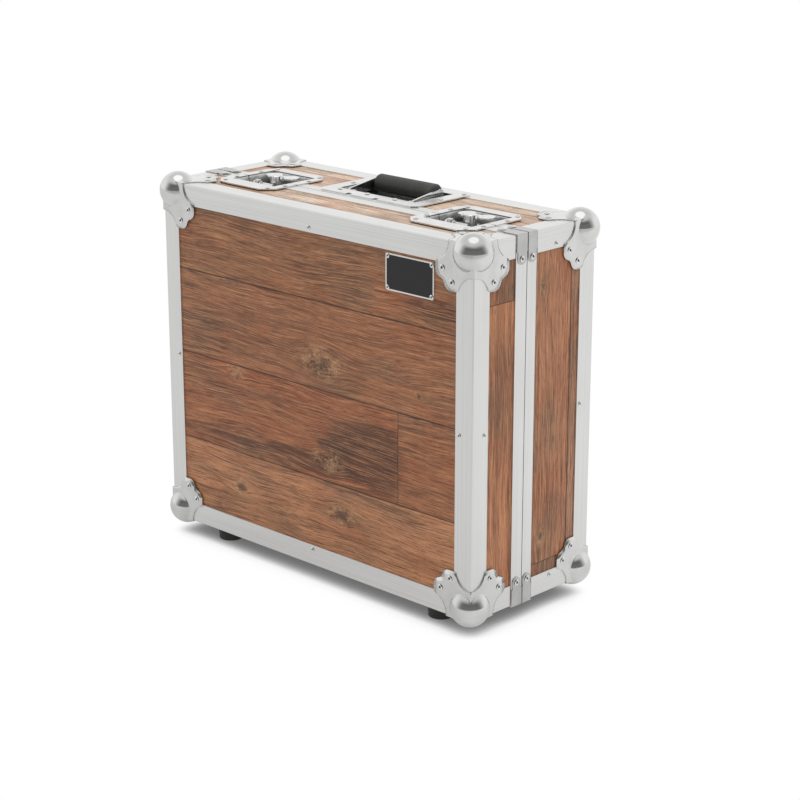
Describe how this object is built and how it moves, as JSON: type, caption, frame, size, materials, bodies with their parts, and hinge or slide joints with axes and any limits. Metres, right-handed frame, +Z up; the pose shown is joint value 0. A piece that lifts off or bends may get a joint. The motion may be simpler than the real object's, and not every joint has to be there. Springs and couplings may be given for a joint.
{
  "type": "turntable flight case",
  "caption": "Upright laminated-ply flight case with aluminium edges, ball corners, a hinged lid, recessed twist latches and a recessed handle",
  "frame": {"origin": "on the floor under the feet, at the middle of the width and depth over the ball corners", "axes": "+X to the right along the width, +Y from the lid's face to the base's back, +Z up"},
  "size_m": [0.5642, 0.2382, 0.4958],
  "materials": {
    "laminate": "satin reclaimed-plank laminate on plywood",
    "corner_steel": "bright zinc-plated pressed steel",
    "clamp_steel": "zinc-plated stamped steel",
    "aluminium": "mill-finish extrusion, satin",
    "foam": "charcoal polyethylene foam",
    "rubber": "black moulded rubber",
    "grip": "black soft grip sleeve",
    "badge": "black enamel, bare",
    "hinge_steel": "zinc-plated steel",
    "bright_steel": "bright zinc-plated steel",
    "dish_steel": "zinc-plated pressed steel"
  },
  "bodies": {
    "base": {"base_back_panel": "laminate", "base_ball_corner_bottom_left": "corner_steel", "base_ball_corner_bottom_right": "corner_steel", "base_ball_corner_top_left": "corner_steel", "base_ball_corner_top_right": "corner_steel", "base_bottom_panel": "laminate", "base_corner_clamps": "clamp_steel", "base_feet": "rubber", "base_foam_collar": "foam", "base_foam_floor": "foam", "base_hinge_leaves": "hinge_steel", "base_horizontal_edges": "aluminium", "base_left_panel": "laminate", "base_parting_profile": "aluminium", "base_right_panel": "laminate", "base_short_edges": "aluminium", "base_top_panel": "laminate", "base_vertical_edges": "aluminium", "handle_dish": "dish_steel", "handle_pivots": "bright_steel", "handle_springs": "bright_steel", "hinge_pins": "hinge_steel", "latch_dish_left": "dish_steel", "latch_dish_right": "dish_steel"},
    "lid": {"badge_plate": "badge", "keeper_dish_left": "dish_steel", "keeper_dish_right": "dish_steel", "lid_ball_corner_bottom_left": "corner_steel", "lid_ball_corner_bottom_right": "corner_steel", "lid_ball_corner_top_left": "corner_steel", "lid_ball_corner_top_right": "corner_steel", "lid_bottom_panel": "laminate", "lid_corner_clamps": "clamp_steel", "lid_face_panel": "laminate", "lid_feet": "rubber", "lid_foam_pad": "foam", "lid_hinge_leaves": "hinge_steel", "lid_horizontal_edges": "aluminium", "lid_left_panel": "laminate", "lid_parting_profile": "aluminium", "lid_right_panel": "laminate", "lid_short_edges": "aluminium", "lid_top_panel": "laminate", "lid_vertical_edges": "aluminium", "strike_left": "dish_steel", "strike_right": "dish_steel"},
    "handle": {"handle_bail": "bright_steel", "handle_grip": "grip"},
    "latch_rotor_left_body": {"latch_rotor_left": "bright_steel"},
    "latch_wing_left_body": {"latch_wing_left": "bright_steel"},
    "latch_link_left_body": {"latch_link_left": "bright_steel", "latch_spring_left": "bright_steel"},
    "latch_hook_left_body": {"latch_hook_left": "bright_steel"},
    "latch_rotor_right_body": {"latch_rotor_right": "bright_steel"},
    "latch_wing_right_body": {"latch_wing_right": "bright_steel"},
    "latch_link_right_body": {"latch_link_right": "bright_steel", "latch_spring_right": "bright_steel"},
    "latch_hook_right_body": {"latch_hook_right": "bright_steel"}
  },
  "joints": [
    {"name": "lid_hinge", "type": "hinge", "parent": "base", "child": "lid", "pos_m": [0, -0.0165, 0.0178], "axis": [1, 0, 0], "range_deg": [0, 105]},
    {"name": "handle_swing", "type": "hinge", "parent": "base", "child": "handle", "pos_m": [0, 0.02, 0.477], "axis": [1, 0, 0], "range_deg": [0, 90], "stiffness_Nm_per_rad": 0.05, "springref_deg": -34.38},
    {"name": "latch_turn_left", "type": "hinge", "parent": "base", "child": "latch_rotor_left_body", "pos_m": [-0.1697, -0.0035, 0.472], "axis": [0, 0, 1], "range_deg": [0, 180]},
    {"name": "wing_fold_left", "type": "hinge", "parent": "latch_rotor_left_body", "child": "latch_wing_left_body", "pos_m": [-0.1697, -0.0035, 0.4833], "axis": [1, 0, 0], "range_deg": [0, 90]},
    {"name": "link_slide_left", "type": "slide", "parent": "base", "child": "latch_link_left_body", "axis": [0, -1, 0], "range_m": [0, 0.00597]},
    {"name": "hook_lift_left", "type": "hinge", "parent": "latch_link_left_body", "child": "latch_hook_left_body", "pos_m": [-0.1697, -0.0185, 0.476], "axis": [-1, 0, 0], "range_deg": [0, 24], "stiffness_Nm_per_rad": 0.01, "springref_deg": -17.19},
    {"name": "latch_turn_right", "type": "hinge", "parent": "base", "child": "latch_rotor_right_body", "pos_m": [0.1697, -0.0035, 0.472], "axis": [0, 0, 1], "range_deg": [0, 180]},
    {"name": "wing_fold_right", "type": "hinge", "parent": "latch_rotor_right_body", "child": "latch_wing_right_body", "pos_m": [0.1697, -0.0035, 0.4833], "axis": [1, 0, 0], "range_deg": [0, 90]},
    {"name": "link_slide_right", "type": "slide", "parent": "base", "child": "latch_link_right_body", "axis": [0, -1, 0], "range_m": [0, 0.00597]},
    {"name": "hook_lift_right", "type": "hinge", "parent": "latch_link_right_body", "child": "latch_hook_right_body", "pos_m": [0.1697, -0.0185, 0.476], "axis": [-1, 0, 0], "range_deg": [0, 24], "stiffness_Nm_per_rad": 0.01, "springref_deg": -17.19}
  ],
  "couplings": [
    {"joint": "link_slide_left", "follows": "latch_turn_left", "m_per_rad": 0.0019},
    {"joint": "link_slide_right", "follows": "latch_turn_right", "m_per_rad": 0.0019}
  ]
}
